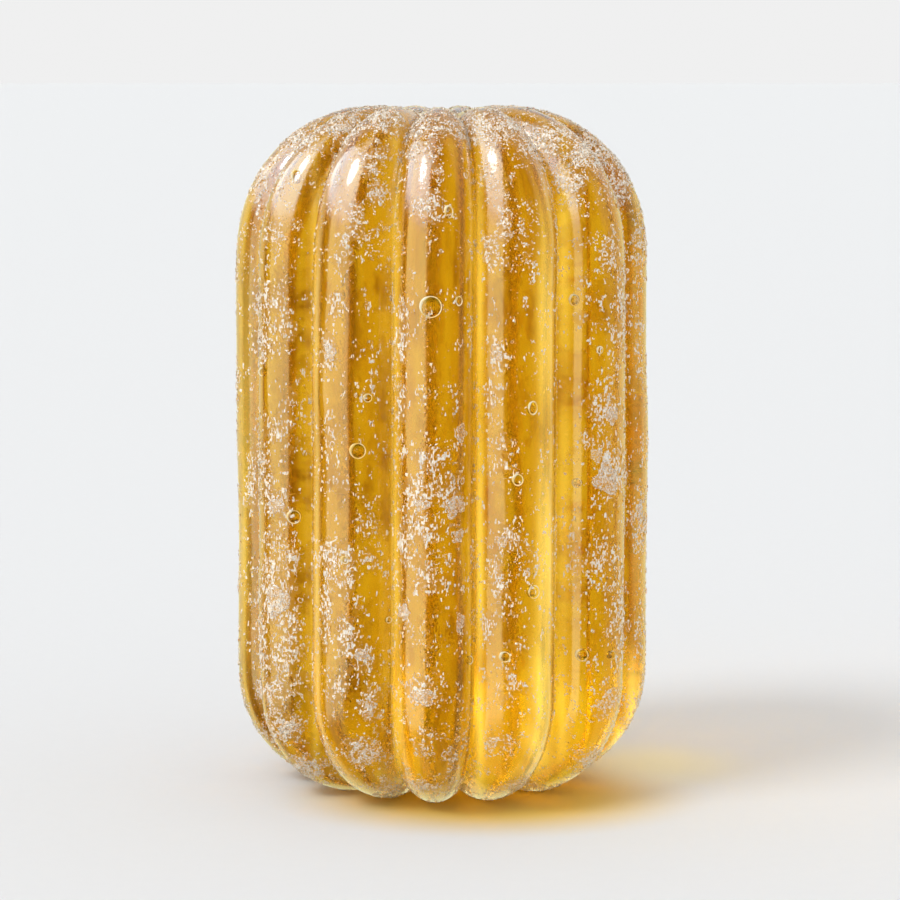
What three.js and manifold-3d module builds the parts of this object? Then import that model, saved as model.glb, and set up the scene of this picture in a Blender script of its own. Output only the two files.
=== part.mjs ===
// A honey hard candy: one barrel of clear boiled sugar with upright rounded ribs.
// The ribs run up the side, roll over both shoulders and meet in a shallow dish at each end.
// Millimetres, +Z up. The candy stands on the flats worn on its lower rib ends, with the
// origin under the middle of its bounding box.
import * as THREE from "three";
import { mergeVertices } from "three/addons/utils/BufferGeometryUtils.js";
import Module from "manifold-3d";

// Overall size.
const CREST_RADIUS = 8.0; // axis to the top of a rib, at half height
const GROOVE_RADIUS = 6.8; // axis to the bottom of the groove between two ribs
const VALLEY_RADIUS = 6.4; // the same where two ribs stand apart
const WIDEST_LOBE = 1.72; // no rib is rounded to a larger radius than this
const BODY_HEIGHT = 26.4; // before the flats are worn on the lower rib ends
const FLAT_DEPTH = 0.1; // how much the flats take off the lower rib ends
const BARREL_TAPER = 0.012; // the lower end is this share wider than the upper one

// Upper end. The shoulder is fuller at the front and back than at the two sides.
const TOP_RING_RADIUS = 3.3; // where a rib reaches its highest point
const TOP_RING_OVAL = 0.6;
const TOP_SHOULDER_HEIGHT = 5.5;
const TOP_DISH_DEPTH = 0.5;

// Lower end.
const BASE_RING_RADIUS = 3.7; // where a rib reaches its lowest point
const BASE_SHOULDER_HEIGHT = 4.6;
const BASE_DISH_DEPTH = 0.5;

// The ribs turn a little at both ends, as pulled sugar does.
const TOP_TURN = 1.2; // degrees
const TOP_TURN_FROM = 0.72; // share of the height where the turn begins
const BASE_TURN = -0.6;
const BASE_TURN_UP_TO = 0.25;

// Each rib: the angle of the groove on its left, in degrees from the front, and how far its
// crest stands above the common crest radius. The pressed ribs aren't all one width.
const RIBS = [
  { groove: -96.0, crest: 0.0 },
  { groove: -68.8, crest: 0.02 },
  { groove: -44.2, crest: -0.01 },
  { groove: -15.6, crest: 0.0 },
  { groove: 10.05, crest: 0.01 },
  { groove: 38.4, crest: 0.06 },
  { groove: 73.2, crest: 0.0 },
  { groove: 98.5, crest: -0.03 },
  { groove: 126.0, crest: 0.03 },
  { groove: 153.6, crest: 0.0 },
  { groove: 181.0, crest: 0.02 },
  { groove: 208.8, crest: -0.02 },
  { groove: 236.5, crest: 0.02 },
];
const FULL_TURN = 360;

// Thin crusts of fused sugar frost that stand proud of the clear surface: the rib they lie
// on, where across that rib (-1 to 1), the height of the middle, and half extents.
const CRUST_THICKNESS = 0.12;
const CRUSTS = [
  { rib: 1, across: -0.2, z: 7.6, halfWidth: 0.8, halfHeight: 1.7 },
  { rib: 1, across: 0.1, z: 3.6, halfWidth: 0.7, halfHeight: 1.2 },
  { rib: 1, across: 0.0, z: 16.6, halfWidth: 0.5, halfHeight: 1.2 },
  { rib: 2, across: -0.4, z: 16.4, halfWidth: 0.5, halfHeight: 1.5 },
  { rib: 2, across: -0.2, z: 3.9, halfWidth: 0.8, halfHeight: 1.8 },
  { rib: 3, across: -0.1, z: 12.2, halfWidth: 0.9, halfHeight: 1.5 },
  { rib: 3, across: 0.5, z: 10.9, halfWidth: 0.6, halfHeight: 0.6 },
  { rib: 3, across: -0.2, z: 3.6, halfWidth: 0.9, halfHeight: 1.0 },
  { rib: 4, across: -0.5, z: 16.5, halfWidth: 0.5, halfHeight: 0.9 },
  { rib: 4, across: 0.0, z: 11.7, halfWidth: 0.8, halfHeight: 1.2 },
  { rib: 5, across: 0.6, z: 12.3, halfWidth: 0.8, halfHeight: 1.4 },
  { rib: 5, across: 0.7, z: 15.0, halfWidth: 0.6, halfHeight: 1.1 },
  { rib: 6, across: 0.2, z: 14.2, halfWidth: 0.6, halfHeight: 1.8 },
  { rib: 7, across: 0.1, z: 9.0, halfWidth: 0.8, halfHeight: 1.6 },
  { rib: 8, across: -0.3, z: 17.0, halfWidth: 0.8, halfHeight: 1.5 },
  { rib: 9, across: 0.2, z: 6.5, halfWidth: 0.8, halfHeight: 1.8 },
  { rib: 10, across: -0.1, z: 13.0, halfWidth: 0.9, halfHeight: 1.6 },
  { rib: 11, across: 0.3, z: 8.5, halfWidth: 0.7, halfHeight: 1.7 },
  { rib: 12, across: 0.0, z: 15.5, halfWidth: 0.7, halfHeight: 1.6 },
];

// Broad unevenness of the surface: amplitude, waves round the candy, waves up it, phase.
const SWELLS = [
  { amplitude: 0.022, around: 3, up: 1.3, phase: 0.4 },
  { amplitude: 0.016, around: 7, up: 2.6, phase: 2.1 },
  { amplitude: 0.012, around: 11, up: 4.2, phase: 4.4 },
];

// Facets.
const FACETS_PER_RIB = 10;
const DISH_ROWS = 4;
const SHOULDER_ROWS = 11;
const SIDE_ROWS = 10;
const SLOPE_STEP = 0.02; // step along a section for the slope of the meridian
const MERGE_TOLERANCE = 1e-4;

const HALF_TURN = Math.PI;
const QUARTER_TURN = Math.PI / 2;
const radians = THREE.MathUtils.degToRad;

// Distance from the axis to the round lobe of one rib, at an angle from the rib's middle.
// The lobe is a circle from groove to groove, or a smaller one with a valley on each side.
function lobeRadius(angle, halfWidth) {
  const grooveStep = CREST_RADIUS - GROOVE_RADIUS * Math.cos(halfWidth);
  const meeting = (CREST_RADIUS ** 2 - GROOVE_RADIUS ** 2) / (2 * grooveStep);
  const centre = Math.max(meeting, CREST_RADIUS - WIDEST_LOBE);
  const lobe = CREST_RADIUS - centre;
  const sideways = Math.min(Math.abs(centre * Math.sin(angle)), lobe);
  const onLobe = centre * Math.cos(angle) + Math.sqrt(lobe ** 2 - sideways ** 2);
  return Math.max(onLobe, VALLEY_RADIUS);
}

// Share across a rib of one of its columns of points. They lie closer near the grooves.
function columnShare(column) {
  return Math.sin(QUARTER_TURN * ((2 * column) / FACETS_PER_RIB - 1));
}

// The ring where a rib is highest, at an angle round the candy.
function topRingRadius(theta) {
  return TOP_RING_RADIUS + TOP_RING_OVAL * Math.cos(2 * theta);
}

// Sections of the crest line from the lower pole to the upper one, each as radius and
// height at a share t of the section.
const MERIDIAN = [
  {
    rows: DISH_ROWS,
    at: (t) => [BASE_RING_RADIUS * t, (BASE_DISH_DEPTH * (1 + Math.cos(HALF_TURN * t))) / 2],
  },
  {
    rows: SHOULDER_ROWS,
    at: (t) => [
      BASE_RING_RADIUS + (CREST_RADIUS - BASE_RING_RADIUS) * Math.sin(QUARTER_TURN * t),
      BASE_SHOULDER_HEIGHT * (1 - Math.cos(QUARTER_TURN * t)),
    ],
  },
  {
    rows: SIDE_ROWS,
    at: (t) => [
      CREST_RADIUS,
      BASE_SHOULDER_HEIGHT + (BODY_HEIGHT - TOP_SHOULDER_HEIGHT - BASE_SHOULDER_HEIGHT) * t,
    ],
  },
  {
    rows: SHOULDER_ROWS,
    at: (t, theta) => [
      topRingRadius(theta) + (CREST_RADIUS - topRingRadius(theta)) * Math.cos(QUARTER_TURN * t),
      BODY_HEIGHT - TOP_SHOULDER_HEIGHT * (1 - Math.sin(QUARTER_TURN * t)),
    ],
  },
  {
    rows: DISH_ROWS,
    at: (t, theta) => [
      topRingRadius(theta) * (1 - t),
      BODY_HEIGHT - (TOP_DISH_DEPTH * (1 - Math.cos(HALF_TURN * t))) / 2,
    ],
  },
];

// Outward direction of the crest line in its own plane, as radius and height parts.
function crestNormal(section, t, theta) {
  const from = section.at(Math.max(t - SLOPE_STEP, 0), theta);
  const to = section.at(Math.min(t + SLOPE_STEP, 1), theta);
  const run = to[0] - from[0];
  const rise = to[1] - from[1];
  const length = Math.hypot(run, rise);
  return [rise / length, -run / length];
}

// How far the ribs have turned at a height, in degrees.
function turnAt(height) {
  const share = height / BODY_HEIGHT;
  const top = Math.max(0, (share - TOP_TURN_FROM) / (1 - TOP_TURN_FROM));
  const base = Math.max(0, (BASE_TURN_UP_TO - share) / BASE_TURN_UP_TO);
  return TOP_TURN * top + BASE_TURN * base;
}

// Relief on top of the plain lobes: crusts of frost and the broad swells of the sugar.
function relief(ribIndex, across, angle, height) {
  let raised = 0;
  for (const crust of CRUSTS) {
    if (crust.rib !== ribIndex) continue;
    const halfRib = ribHalfWidth(ribIndex) * CREST_RADIUS;
    const sideways = ((across - crust.across) * halfRib) / crust.halfWidth;
    const upwards = (height - crust.z) / crust.halfHeight;
    const nearness = Math.max(0, 1 - sideways ** 2 - upwards ** 2);
    raised = Math.max(raised, CRUST_THICKNESS * Math.sqrt(nearness));
  }
  for (const swell of SWELLS) {
    const climb = (2 * HALF_TURN * swell.up * height) / BODY_HEIGHT;
    raised += swell.amplitude * Math.sin(swell.around * angle + climb + swell.phase);
  }
  return raised;
}

function ribHalfWidth(index) {
  const next = index + 1 < RIBS.length ? RIBS[index + 1].groove : RIBS[0].groove + FULL_TURN;
  return radians(next - RIBS[index].groove) / 2;
}

// One point of the surface: rib, share across it from -1 to 1, and place on the meridian.
function surfacePoint(ribIndex, across, section, t) {
  const halfWidth = ribHalfWidth(ribIndex);
  const middle = radians(RIBS[ribIndex].groove) + halfWidth;
  const angle = middle + across * halfWidth;
  const [crestRadius, crestHeight] = section.at(t, angle);
  const [outward, upward] = crestNormal(section, t, angle);
  // The whole lobe shrinks towards the poles, so the grooves close to nothing there.
  const scale = crestRadius / CREST_RADIUS;
  const crown = RIBS[ribIndex].crest * (1 - across ** 2);
  const rise = crown + relief(ribIndex, across, angle, crestHeight);
  const sink = (CREST_RADIUS - lobeRadius(across * halfWidth, halfWidth) - rise) * scale;
  const share = crestHeight / BODY_HEIGHT;
  const spread = 1 + BARREL_TAPER * (1 / 2 - share);
  const radius = (crestRadius - outward * sink) * spread;
  const turned = angle + radians(turnAt(crestHeight));
  return [radius * Math.sin(turned), -radius * Math.cos(turned), crestHeight - upward * sink];
}

// The closed skin of the candy: rings of points from pole to pole.
function skinGeometry() {
  const positions = [];
  const columns = RIBS.length * FACETS_PER_RIB;
  const rings = [];
  for (const section of MERIDIAN) {
    for (let row = 0; row < section.rows; row += 1) rings.push({ section, t: row / section.rows });
  }
  rings.shift(); // the first row is the lower pole, a single point
  positions.push(0, 0, MERIDIAN[0].at(0, 0)[1]);
  for (const ring of rings) {
    for (let column = 0; column < columns; column += 1) {
      const ribIndex = Math.floor(column / FACETS_PER_RIB);
      const across = columnShare(column % FACETS_PER_RIB);
      positions.push(...surfacePoint(ribIndex, across, ring.section, ring.t));
    }
  }
  positions.push(0, 0, MERIDIAN[MERIDIAN.length - 1].at(1, 0)[1]);

  const indices = [];
  const upperPole = positions.length / 3 - 1;
  const vertex = (ring, column) => 1 + ring * columns + (column % columns);
  for (let column = 0; column < columns; column += 1) {
    indices.push(0, vertex(0, column + 1), vertex(0, column));
    for (let ring = 0; ring + 1 < rings.length; ring += 1) {
      const a = vertex(ring, column);
      const b = vertex(ring, column + 1);
      const c = vertex(ring + 1, column + 1);
      const d = vertex(ring + 1, column);
      indices.push(a, b, c, a, c, d);
    }
    indices.push(vertex(rings.length - 1, column), vertex(rings.length - 1, column + 1), upperPole);
  }
  const geometry = new THREE.BufferGeometry();
  geometry.setAttribute("position", new THREE.Float32BufferAttribute(positions, 3));
  geometry.setIndex(indices);
  return geometry;
}

const wasm = await Module();
wasm.setup();

function toSolid(geometry) {
  const bare = geometry.clone();
  bare.deleteAttribute("normal");
  bare.deleteAttribute("uv");
  const merged = mergeVertices(bare, MERGE_TOLERANCE);
  return new wasm.Manifold(
    new wasm.Mesh({
      numProp: 3,
      vertProperties: new Float32Array(merged.attributes.position.array),
      triVerts: new Uint32Array(merged.index.array),
    }),
  );
}

function toGeometry(solid) {
  const mesh = solid.getMesh();
  const geometry = new THREE.BufferGeometry();
  geometry.setAttribute("position", new THREE.BufferAttribute(mesh.vertProperties, 3));
  geometry.setIndex(new THREE.BufferAttribute(mesh.triVerts, 1));
  return geometry;
}

// The flats on the lower rib ends: everything below the resting plane comes off.
function wearFlats(solid) {
  const slabWidth = 4 * CREST_RADIUS;
  const slab = new THREE.BoxGeometry(slabWidth, slabWidth, 2 * CREST_RADIUS);
  slab.translate(0, 0, FLAT_DEPTH - CREST_RADIUS);
  return solid.subtract(toSolid(slab));
}

const candyGeometry = toGeometry(wearFlats(toSolid(skinGeometry())));
candyGeometry.computeBoundingBox();
const middle = candyGeometry.boundingBox.getCenter(new THREE.Vector3());
candyGeometry.translate(-middle.x, -middle.y, -candyGeometry.boundingBox.min.z);
const flatShaded = candyGeometry.toNonIndexed();
flatShaded.computeVertexNormals();

const amberSugar = new THREE.MeshStandardMaterial({
  name: "amber_sugar",
  color: 0xc4860c,
  roughness: 0.22,
  metalness: 0,
});

const candy = new THREE.Mesh(flatShaded, amberSugar);
candy.name = "candy";

const group = new THREE.Group();
group.add(candy);

export default group;
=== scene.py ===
# %% [markdown]
# # A ribbed honey hard candy
# The candy is one clear barrel of boiled sugar with thirteen upright ribs. Its form comes from
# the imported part. This lesson gives it its looks in the order a confectioner would see them:
# the clear amber sugar, the frost of fused sugar crystals on its skin, the air bubbles just
# under it, the thin films of dried syrup, and then the pale studio that shows them.

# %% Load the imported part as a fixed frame
import math
import random
import bpy
import numpy as np
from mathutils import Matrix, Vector


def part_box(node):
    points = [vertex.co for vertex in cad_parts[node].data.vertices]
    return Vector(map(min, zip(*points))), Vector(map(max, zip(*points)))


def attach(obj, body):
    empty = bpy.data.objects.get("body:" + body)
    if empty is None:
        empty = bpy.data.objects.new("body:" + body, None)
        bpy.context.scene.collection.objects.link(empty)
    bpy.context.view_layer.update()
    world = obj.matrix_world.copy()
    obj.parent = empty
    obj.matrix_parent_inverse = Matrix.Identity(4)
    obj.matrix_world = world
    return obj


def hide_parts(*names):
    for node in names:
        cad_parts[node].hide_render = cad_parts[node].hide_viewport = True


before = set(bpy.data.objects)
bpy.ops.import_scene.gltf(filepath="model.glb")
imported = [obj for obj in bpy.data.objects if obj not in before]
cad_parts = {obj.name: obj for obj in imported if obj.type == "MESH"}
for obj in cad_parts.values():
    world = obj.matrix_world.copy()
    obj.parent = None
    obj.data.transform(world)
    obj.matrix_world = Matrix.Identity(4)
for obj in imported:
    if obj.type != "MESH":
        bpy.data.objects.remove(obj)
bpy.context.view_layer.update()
MM = 0.001
candy_low, candy_high = [Vector(corner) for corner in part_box("candy")]
candy_height = candy_high.z - candy_low.z
candy_radius = (candy_high.x - candy_low.x) / 2
print("candy", round(2 * candy_radius / MM, 2), "mm wide,", round(candy_height / MM, 2), "mm tall")
bpy.ops.object.select_all(action="DESELECT")

# %% [markdown]
# ## Camera
# The candy was photographed from just above its middle with a long lens. The place and the
# lens were worked out from the outline and from how the ribs narrow towards both sides. The
# camera comes first, because frost patches and bubbles are placed by what it sees.

# %% Place the camera
PHOTO_SIDE = 900  # the photograph's width and height in pixels
CAMERA_DISTANCE = 114 * MM
CAMERA_HEIGHT = 27.3 * MM
AIM_RIGHT = 0.265 * MM
AIM_HEIGHT = 12.95 * MM
LENS = 117.8  # millimetres, on a 36 mm sensor
SENSOR = 36

bpy.ops.object.camera_add(location=(0, -CAMERA_DISTANCE, CAMERA_HEIGHT))
camera = bpy.context.object
aim = Vector((AIM_RIGHT, 0, AIM_HEIGHT)) - camera.location
camera.rotation_euler = aim.to_track_quat("-Z", "Y").to_euler()
camera.data.lens = LENS
camera.data.sensor_width = SENSOR
camera.data.clip_start = 0.001
bpy.context.scene.camera = camera
bpy.context.view_layer.update()
to_camera = np.array(camera.matrix_world.inverted())
PIXELS_PER_UNIT = LENS / SENSOR * PHOTO_SIDE


def photo_pixels(points):
    """Where points in metres land in the photograph, as columns and rows of pixels."""
    seen = points @ to_camera[:3, :3].T + to_camera[:3, 3]
    column = PHOTO_SIDE / 2 + PIXELS_PER_UNIT * seen[:, 0] / -seen[:, 2]
    row = PHOTO_SIDE / 2 - PIXELS_PER_UNIT * seen[:, 1] / -seen[:, 2]
    return column, row


def ray_through(column, row):
    """Start and direction of the line of sight through one pixel."""
    across = (column - PHOTO_SIDE / 2) / PIXELS_PER_UNIT
    up = (PHOTO_SIDE / 2 - row) / PIXELS_PER_UNIT
    direction = camera.matrix_world.to_3x3() @ Vector((across, up, -1))
    return camera.location.copy(), direction.normalized()


print("camera looks down by", round(math.degrees(math.atan2(-aim.z, aim.y)), 1), "degrees")

# %% [markdown]
# ## The clear sugar body
# Boiled sugar sets as a glass, so the real surface has no facets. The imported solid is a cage
# of flat triangles. A copy of it is merged and turned into quads, the groove lines between the
# ribs are creased so that they stay narrow, and a subdivision surface rounds the rest.

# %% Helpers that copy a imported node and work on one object
def work_on(piece):
    bpy.ops.object.select_all(action="DESELECT")
    piece.select_set(True)
    bpy.context.view_layer.objects.active = piece


def open_mesh():
    """Edit mode, with the whole mesh selected."""
    bpy.ops.object.mode_set(mode="EDIT")
    bpy.ops.mesh.select_all(action="SELECT")


def copy_of_node(node, name):
    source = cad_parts[node]
    piece = source.copy()
    piece.data = source.data.copy()
    piece.name = name
    piece.data.name = name
    bpy.context.collection.objects.link(piece)
    piece.data.materials.clear()
    return piece


def triangles(piece):
    return sum(len(face.vertices) - 2 for face in piece.data.polygons)


# %% Merge the copy and turn its triangles into quads
SAME_PLACE = 1e-6
QUAD_BEND = math.radians(60)

body = copy_of_node("candy", "clear_sugar")
work_on(body)
open_mesh()
bpy.ops.mesh.remove_doubles(threshold=SAME_PLACE)
bpy.ops.mesh.tris_convert_to_quads(face_threshold=QUAD_BEND, shape_threshold=QUAD_BEND)
bpy.ops.object.mode_set(mode="OBJECT")
print("body cage", len(body.data.polygons), "faces")

# %% Crease the groove lines and round the rest
GROOVE_BEND = math.radians(25)  # a fold sharper than this, and hollow, is a groove
GROOVE_CREASE = 0.7
ROUNDING = 2  # each level splits every face in four


def hollow_edges(mesh, bend):
    """Edges where two faces fold inwards by more than the given angle."""
    faces_of = {}
    for face in mesh.polygons:
        for key in face.edge_keys:
            faces_of.setdefault(key, []).append(face)
    hollow = []
    for edge in mesh.edges:
        pair = faces_of.get(edge.key, [])
        if len(pair) != 2:
            continue
        first, second = pair
        folds_in = (second.center - first.center).dot(first.normal) > 0
        if folds_in and first.normal.angle(second.normal, 0) > bend:
            hollow.append(edge.index)
    return hollow


grooves = hollow_edges(body.data, GROOVE_BEND)
crease = body.data.attributes.new("crease_edge", "FLOAT", "EDGE")
for index in grooves:
    crease.data[index].value = GROOVE_CREASE
smooth = body.modifiers.new("round the facets", "SUBSURF")
smooth.levels = ROUNDING
smooth.render_levels = ROUNDING
work_on(body)
bpy.ops.object.modifier_apply(modifier=smooth.name)
bpy.ops.object.shade_smooth()
print("creased", len(grooves), "groove edges, body has", triangles(body), "triangles")


def point_array(mesh, what):
    """Places or normals of all points of a mesh, as rows of an array."""
    flat = np.empty(len(mesh.vertices) * 3)
    if what == "places":
        mesh.vertices.foreach_get("co", flat)
    else:
        mesh.vertex_normals.foreach_get("vector", flat)
    return flat.reshape(-1, 3)


# %% [markdown]
# Pulled ribs are never quite round. The crest of the sixth rib stands a little further
# forward, which is why it catches the window as widely as its neighbours do. It is moved by
# two tenths of a millimetre, where the camera sees that rib.

# %% Lean the sixth rib
LEAN_FROM, LEAN_CREST, LEAN_TO = 556, 588, 628  # columns of the photograph
LEAN_HEIGHT = 0.20 * MM
LEAN_CURVE = 1.3
LEAN_FADE = 3 * MM  # it fades out over this height at both ends

skin_points = point_array(body.data, "places")
column, row = photo_pixels(skin_points)
rise = np.clip((column - LEAN_FROM) / (LEAN_CREST - LEAN_FROM), 0, 1)
fall = np.clip((LEAN_TO - column) / (LEAN_TO - LEAN_CREST), 0, 1)
from_end = np.minimum(skin_points[:, 2], candy_height - skin_points[:, 2])
lean = LEAN_HEIGHT * np.minimum(rise, fall) ** LEAN_CURVE
lean *= (skin_points[:, 1] < 0) & (column > LEAN_FROM) & (column < LEAN_TO)
lean *= np.clip(from_end / LEAN_FADE, 0, 1)
skin_points[:, 1] -= lean
body.data.vertices.foreach_set("co", skin_points.ravel())
body.data.update()
print("the crest comes forward by", round(float(lean.max()) / MM, 2), "mm")

# %% [markdown]
# ## Where the frost lies
# Sugar that crystallised on the skin lies in patches: thick on both ends, on the left ribs and
# down the middle of the front, and thin in the clear upper windows. How much lies at each
# point of the skin is kept in one attribute, so that the etched sugar, the fused crust and
# the loose crystals all agree. Patches on the front are read off the photograph. The
# back isn't seen, so its patches are laid by chance at the same density.

# %% List the patches on the front
# Each patch: column, row, half width and half height in pixels of the photograph, strength.
FRONT_PATCHES = [
    # upper ends of the ribs
    (300, 140, 24, 12, 0.8), (345, 128, 26, 12, 0.9), (385, 122, 20, 12, 0.9),
    (432, 128, 30, 12, 0.8), (490, 128, 28, 14, 0.9), (545, 140, 26, 16, 0.9),
    (588, 152, 26, 20, 1.0), (575, 182, 18, 16, 0.8), (620, 172, 16, 28, 0.8),
    # second rib from the left
    (262, 185, 8, 24, 0.6), (276, 240, 10, 20, 0.6), (268, 300, 14, 26, 0.7),
    (262, 345, 9, 20, 0.8), (287, 328, 10, 12, 0.8), (275, 425, 16, 20, 0.6),
    (265, 470, 10, 24, 0.6), (274, 500, 13, 11, 0.9), (276, 535, 12, 14, 0.8),
    (290, 560, 12, 14, 0.9), (277, 598, 18, 40, 1.0), (288, 650, 15, 20, 0.7),
    (275, 690, 16, 14, 0.9), (283, 726, 17, 14, 1.0), (302, 770, 24, 12, 1.0),
    (262, 640, 6, 40, 0.7), (252, 480, 5, 24, 0.8),
    # third rib
    (372, 165, 12, 18, 0.7), (356, 220, 8, 16, 0.9), (345, 252, 7, 18, 0.9),
    (372, 235, 11, 14, 0.5), (376, 190, 9, 14, 0.7), (329, 350, 8, 15, 0.9),
    (338, 298, 8, 18, 0.5), (368, 395, 11, 9, 0.5), (330, 430, 9, 20, 0.5),
    (340, 482, 9, 16, 0.6), (366, 522, 13, 18, 0.5), (331, 556, 11, 16, 0.8),
    (347, 582, 10, 22, 0.8), (374, 560, 11, 20, 0.4), (350, 640, 15, 22, 0.7),
    (366, 660, 16, 16, 0.8), (341, 690, 13, 22, 0.6), (370, 704, 13, 18, 0.7),
    (364, 752, 16, 14, 0.9), (392, 788, 15, 8, 0.8), (326, 610, 6, 40, 0.5),
    # middle rib
    (428, 206, 12, 18, 0.7), (415, 148, 12, 8, 0.6), (446, 212, 7, 14, 0.4),
    (404, 332, 6, 34, 0.7), (402, 402, 6, 28, 0.7), (426, 402, 10, 16, 0.4),
    (430, 455, 22, 20, 0.6), (424, 490, 20, 14, 0.8), (424, 532, 20, 18, 0.9),
    (404, 546, 6, 20, 0.9), (430, 578, 20, 20, 0.6), (450, 500, 13, 10, 0.8),
    (432, 640, 20, 20, 0.5), (404, 612, 7, 10, 0.9), (425, 690, 22, 12, 0.9),
    (430, 738, 20, 14, 0.35), (436, 786, 30, 6, 0.7),
    # fifth rib
    (490, 178, 10, 24, 0.4), (504, 216, 6, 22, 0.7), (492, 252, 12, 20, 0.6),
    (526, 252, 12, 26, 0.4), (497, 355, 11, 20, 0.8), (490, 402, 9, 26, 0.6),
    (500, 452, 11, 26, 0.6), (511, 540, 16, 12, 0.8), (495, 580, 13, 22, 0.6),
    (530, 560, 14, 18, 0.5), (487, 630, 8, 15, 0.8), (524, 640, 14, 18, 0.4),
    (505, 690, 14, 18, 0.4), (500, 745, 14, 10, 0.35), (522, 786, 20, 7, 0.9),
    # sixth rib and the right edge
    (610, 250, 11, 26, 0.6), (622, 310, 6, 50, 0.8), (592, 300, 12, 24, 0.5),
    (604, 410, 16, 20, 0.9), (612, 470, 15, 24, 1.0), (590, 440, 12, 18, 0.6),
    (600, 560, 16, 36, 0.6), (618, 620, 9, 44, 0.7), (605, 700, 14, 26, 0.6),
    (590, 760, 16, 12, 0.7), (572, 560, 7, 50, 0.3), (640, 240, 7, 34, 0.7),
    (638, 350, 6, 34, 0.6), (640, 512, 6, 22, 0.9), (640, 620, 6, 34, 0.6),
    (632, 722, 8, 26, 0.7),
]
print(len(FRONT_PATCHES), "patches on the front")

# %% Lay the patches out as an attribute on the body
BACK_PATCHES = 120
BACK_FROM, BACK_TO = 82, 278  # degrees round from the front
THIN_FROST = 0.16  # stray grains are found everywhere
END_FROST = 0.12  # both ends carry more
FOOT_SHARE = 0.3  # but the foot less than the top
SHOULDER = 5.0 * MM  # how far the heavier frost reaches from each end


def near_places(places, points, normals):
    """How strongly soft ovals of the photograph cover each point of the skin they face."""
    column, row = photo_pixels(points)
    view = np.array(camera.location) - points
    facing = (normals * view).sum(axis=1) / np.linalg.norm(view, axis=1)
    amount = np.zeros(len(points))
    for x, y, half_width, half_height, strength in places:
        nearness = np.exp(-(((column - x) / half_width) ** 2 + ((row - y) / half_height) ** 2))
        amount = np.maximum(amount, strength * nearness)
    return amount * np.clip(facing * 6 + 0.6, 0, 1)


def frost_amount(points, normals):
    """How much frost lies at each point of the skin, from 0 to about 1."""
    amount = near_places(FRONT_PATCHES, points, normals)
    angle = np.degrees(np.arctan2(points[:, 0], -points[:, 1])) % 360
    chance = random.Random(31)
    for _ in range(BACK_PATCHES):
        turn = chance.uniform(BACK_FROM, BACK_TO)
        height = chance.uniform(0.03, 0.97) * candy_height
        wide = chance.uniform(0.35, 0.9) * MM
        tall = chance.uniform(0.4, 1.4) * MM
        sideways = np.radians(angle - turn) * candy_radius / wide
        upwards = (points[:, 2] - height) / tall
        strength = chance.uniform(0.4, 1.0)
        amount = np.maximum(amount, strength * np.exp(-(sideways**2 + upwards**2)))
    from_end = np.minimum(points[:, 2], candy_height - points[:, 2])
    ends = END_FROST * np.clip(1 - from_end / SHOULDER, 0, 1)
    ends = np.where(points[:, 2] < SHOULDER, FOOT_SHARE * ends, ends)
    return np.clip(THIN_FROST + ends + amount * (1 - 0.5 * ends), 0, 1.2)


skin_points = point_array(body.data, "places")
skin_normals = point_array(body.data, "normals")
amount = frost_amount(skin_points, skin_normals)
frost = body.data.attributes.new("frost", "FLOAT", "POINT")
frost.data.foreach_set("value", amount.astype(np.float32))
print("mean frost", round(float(amount.mean()), 3), "highest", round(float(amount.max()), 2))

# %% [markdown]
# Light that enters on the left is caught inside the ribs and leaves again at their right
# flanks and at the lower right shoulders, where the sugar seems to glow. A path tracer finds
# such light late. So a second attribute says where it comes out, and the sugar gives off a
# little light of its own there.

# %% Mark where trapped light comes out
# Each place: column, row, half width and half height in pixels of the photograph, strength.
GLOW_PLACES = [
    (545, 330, 8, 110, 0.8), (545, 560, 9, 130, 0.95), (541, 690, 10, 60, 1.1),
    (536, 740, 11, 26, 0.9), (526, 768, 10, 10, 0.3),
    (480, 300, 4, 150, 0.6), (480, 560, 4, 160, 0.8), (480, 720, 5, 60, 0.8),
    (396, 300, 4, 150, 0.5), (396, 560, 4, 160, 0.6), (398, 720, 5, 60, 0.5),
    (315, 320, 4, 150, 0.5), (316, 600, 4, 160, 0.5),
    (564, 260, 6, 110, 0.5), (564, 520, 6, 150, 0.4), (562, 700, 5, 60, 0.4),
    (632, 700, 7, 50, 0.9), (622, 742, 10, 18, 1.0), (606, 764, 12, 10, 0.5),
    (246, 430, 6, 240, 0.55), (636, 300, 6, 120, 0.3), (637, 540, 6, 120, 0.35),
]
SIDE_GLOW = 0.35  # the back ribs on the right get an even share at their foot
FOOT_HEIGHT = 2.5 * MM
FOOT_REACH = 1.5 * MM


def glow_amount(points, normals):
    light = near_places(GLOW_PLACES, points, normals)
    foot = SIDE_GLOW * np.exp(-((points[:, 2] - FOOT_HEIGHT) / FOOT_REACH) ** 2)
    behind_right = (points[:, 0] > 0) & (points[:, 1] > 0)
    return np.maximum(light, foot * behind_right)


glow = body.data.attributes.new("glow", "FLOAT", "POINT")
trapped = glow_amount(skin_points, skin_normals)
glow.data.foreach_set("value", trapped.astype(np.float32))
print("mean glow", round(float(trapped.mean()), 3))

# %% [markdown]
# ## A shader group for frosted skin
# The frost etches the clear sugar under it, and it does so in ragged patches with a fine
# granular relief. The same ragged outline decides where crystals lie, so one helper makes it
# for both. The group takes the frost attribute and gives a mask of the patches and a height.

# %% Helpers for node trees
def new_material(name):
    """A material, its node tree, its shader and the place on the piece, in metres."""
    material = bpy.data.materials.new(name)
    material.use_nodes = True
    tree = material.node_tree
    place = tree.nodes.new("ShaderNodeTexCoord").outputs["Object"]
    return material, tree, tree.nodes["Principled BSDF"], place


def dress(piece, material):
    piece.data.materials.clear()
    piece.data.materials.append(material)


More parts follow.
